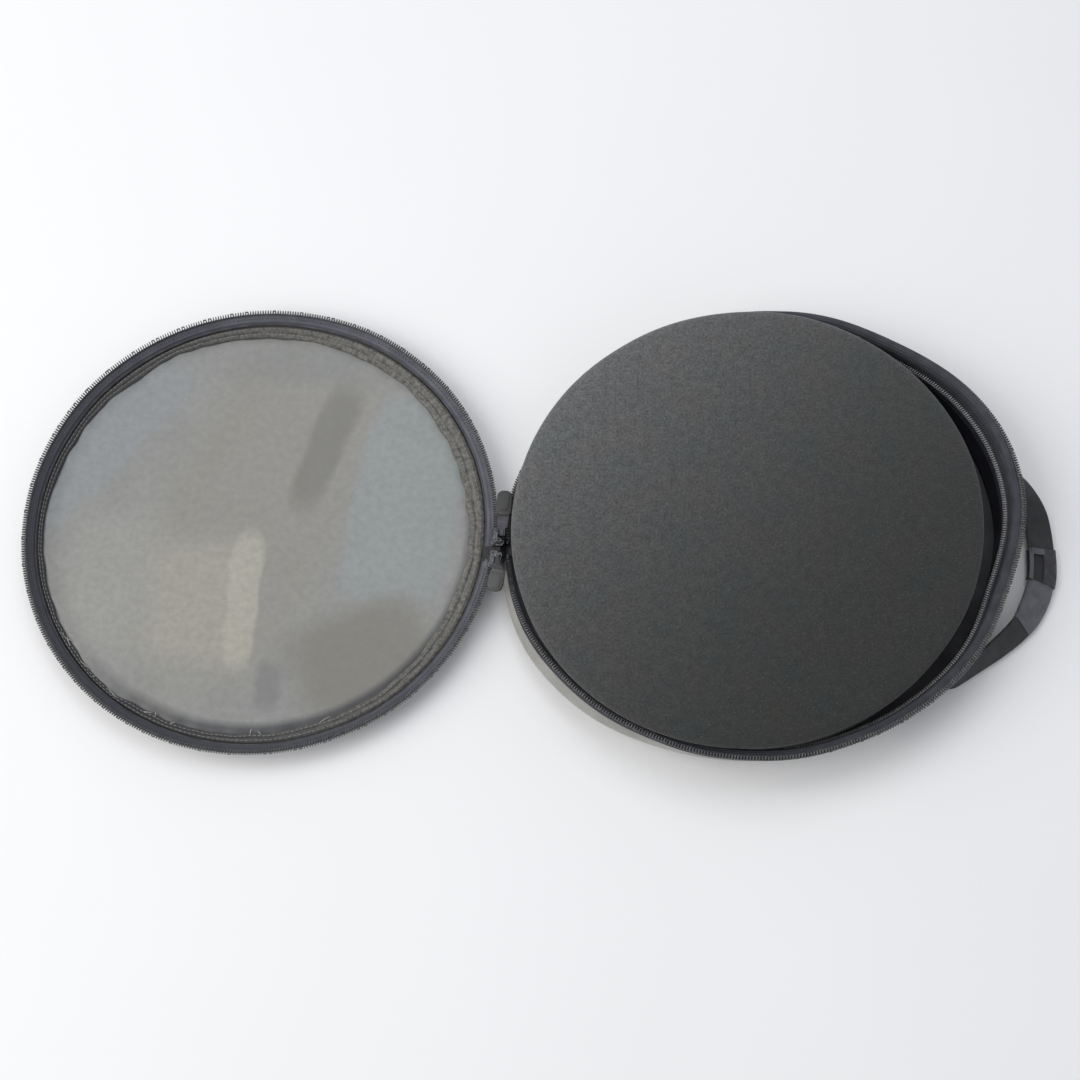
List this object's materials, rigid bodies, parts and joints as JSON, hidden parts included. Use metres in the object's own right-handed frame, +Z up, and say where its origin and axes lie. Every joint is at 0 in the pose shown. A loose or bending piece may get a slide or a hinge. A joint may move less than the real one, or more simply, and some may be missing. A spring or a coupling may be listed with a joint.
{
  "type": "round zip carrying case for a handpan",
  "caption": "Round zip-up soft case for a small handpan: shallow tray with a foam disc, flat lid on a fabric hinge, two sliders on the coil, webbing handle.",
  "frame": {"origin": "centre of the tray's floor panel on the face it stands on", "axes": "+X from the lid towards the tray's handle side, +Y to the back, +Z up out of the tray"},
  "size_m": [0.7133, 0.3274, 0.0475],
  "materials": {
    "shell_fabric": "smooth coated woven shell fabric, semi-matte",
    "dark_panel": "coated woven base fabric, matte",
    "lining_nylon": "thin glossy nylon lining with soft creases",
    "wall_lining": "thin nylon lining, shaded grey",
    "foam": "closed-cell foam sheet, matte",
    "board": "stiff polyethylene board",
    "binding": "ribbed grosgrain binding tape, stitched",
    "piping": "cord-filled fabric piping, matte",
    "zip_tape": "herringbone woven zip tape",
    "zip_coil": "nylon tooth coil, satin",
    "zip_metal": "plated zinc, scuffed",
    "slider_black": "glossy black lacquered zinc slider",
    "pull_rubber": "matte grey moulded rubber",
    "hinge_tab": "woven grey fabric tab",
    "webbing": "ribbed polypropylene webbing",
    "hook_tape": "hook-and-loop tape, fuzzy matte",
    "grip_sleeve": "smooth coated fabric sleeve, satin",
    "felt": "dense dark felt with light fibres",
    "pad_foam": "soft open-cell foam core, matte"
  },
  "bodies": {
    "base": {"base_floor_panel": "dark_panel", "base_floor_board": "board", "base_floor_foam": "foam", "base_floor_lining": "lining_nylon", "base_bottom_piping": "piping", "base_wall_shell": "shell_fabric", "base_wall_foam": "foam", "base_lining_lower": "wall_lining", "base_lining_upper": "wall_lining", "expander_tape_lower": "zip_tape", "expander_tape_upper": "zip_tape", "expander_coil": "zip_coil", "base_rim_binding": "binding", "base_zip_tape": "zip_tape", "base_zip_coil": "zip_coil", "base_zip_stop_a": "zip_metal", "base_zip_stop_b": "zip_metal", "hinge_tab_base": "hinge_tab", "handle_anchor_upper": "webbing", "handle_anchor_lower": "webbing"},
    "lid": {"lid_panel": "shell_fabric", "lid_edge_piping": "piping", "lid_edge_band": "shell_fabric", "lid_board": "board", "lid_foam": "foam", "lid_lining": "lining_nylon", "lid_binding": "binding", "lid_rim_fold": "zip_tape", "lid_zip_tape": "zip_tape", "lid_zip_coil": "zip_coil", "lid_zip_stop_a": "zip_metal", "lid_zip_stop_b": "zip_metal", "hinge_tab_lid": "hinge_tab"},
    "slider_a": {"slider_a": "slider_black", "slider_a_bail": "zip_metal", "slider_a_pin": "zip_metal"},
    "pull_a": {"pull_a_link": "zip_metal", "pull_a_tab": "pull_rubber"},
    "slider_b": {"slider_b": "slider_black", "slider_b_bail": "zip_metal", "slider_b_pin": "zip_metal"},
    "pull_b": {"pull_b_link": "zip_metal", "pull_b_tab": "pull_rubber"},
    "foam_disc": {"pad_bottom_cover": "felt", "pad_side_band": "felt", "pad_core": "pad_foam", "pad_top_cover": "felt"},
    "handle": {"handle_webbing": "webbing", "handle_wrap_hook": "hook_tape", "handle_wrap_sleeve": "grip_sleeve"}
  },
  "joints": [
    {"name": "lid_hinge", "type": "hinge", "parent": "base", "child": "lid", "pos_m": [-0.1665, -0.0175, 0.03], "axis": [0, 1, 0], "range_deg": [0, 180]},
    {"name": "slider_a_run", "type": "hinge", "parent": "lid", "child": "slider_a", "pos_m": [-0.333, 0, 0.017], "axis": [0, 0, 1], "range_deg": [0, 166]},
    {"name": "slider_b_run", "type": "hinge", "parent": "lid", "child": "slider_b", "pos_m": [-0.333, 0, 0.017], "axis": [0, 0, -1], "range_deg": [0, 160]},
    {"name": "pull_a_flip", "type": "hinge", "parent": "slider_a", "child": "pull_a", "pos_m": [-0.1658, -0.00818, 0.0302], "axis": [0.9988, -0.0489, 0], "range_deg": [0, 150]},
    {"name": "pull_b_flip", "type": "hinge", "parent": "slider_b", "child": "pull_b", "pos_m": [-0.16794, -0.02792, 0.0302], "axis": [-0.986, 0.1668, 0], "range_deg": [0, 150]},
    {"name": "foam_disc_lift", "type": "slide", "parent": "base", "child": "foam_disc", "axis": [0, 0, 1], "range_m": [0, 0.12]},
    {"name": "handle_swing", "type": "hinge", "parent": "base", "child": "handle", "pos_m": [0.1216, -0.1075, 0.015], "axis": [-0.2205, -0.9754, 0], "range_deg": [0, 18]}
  ]
}
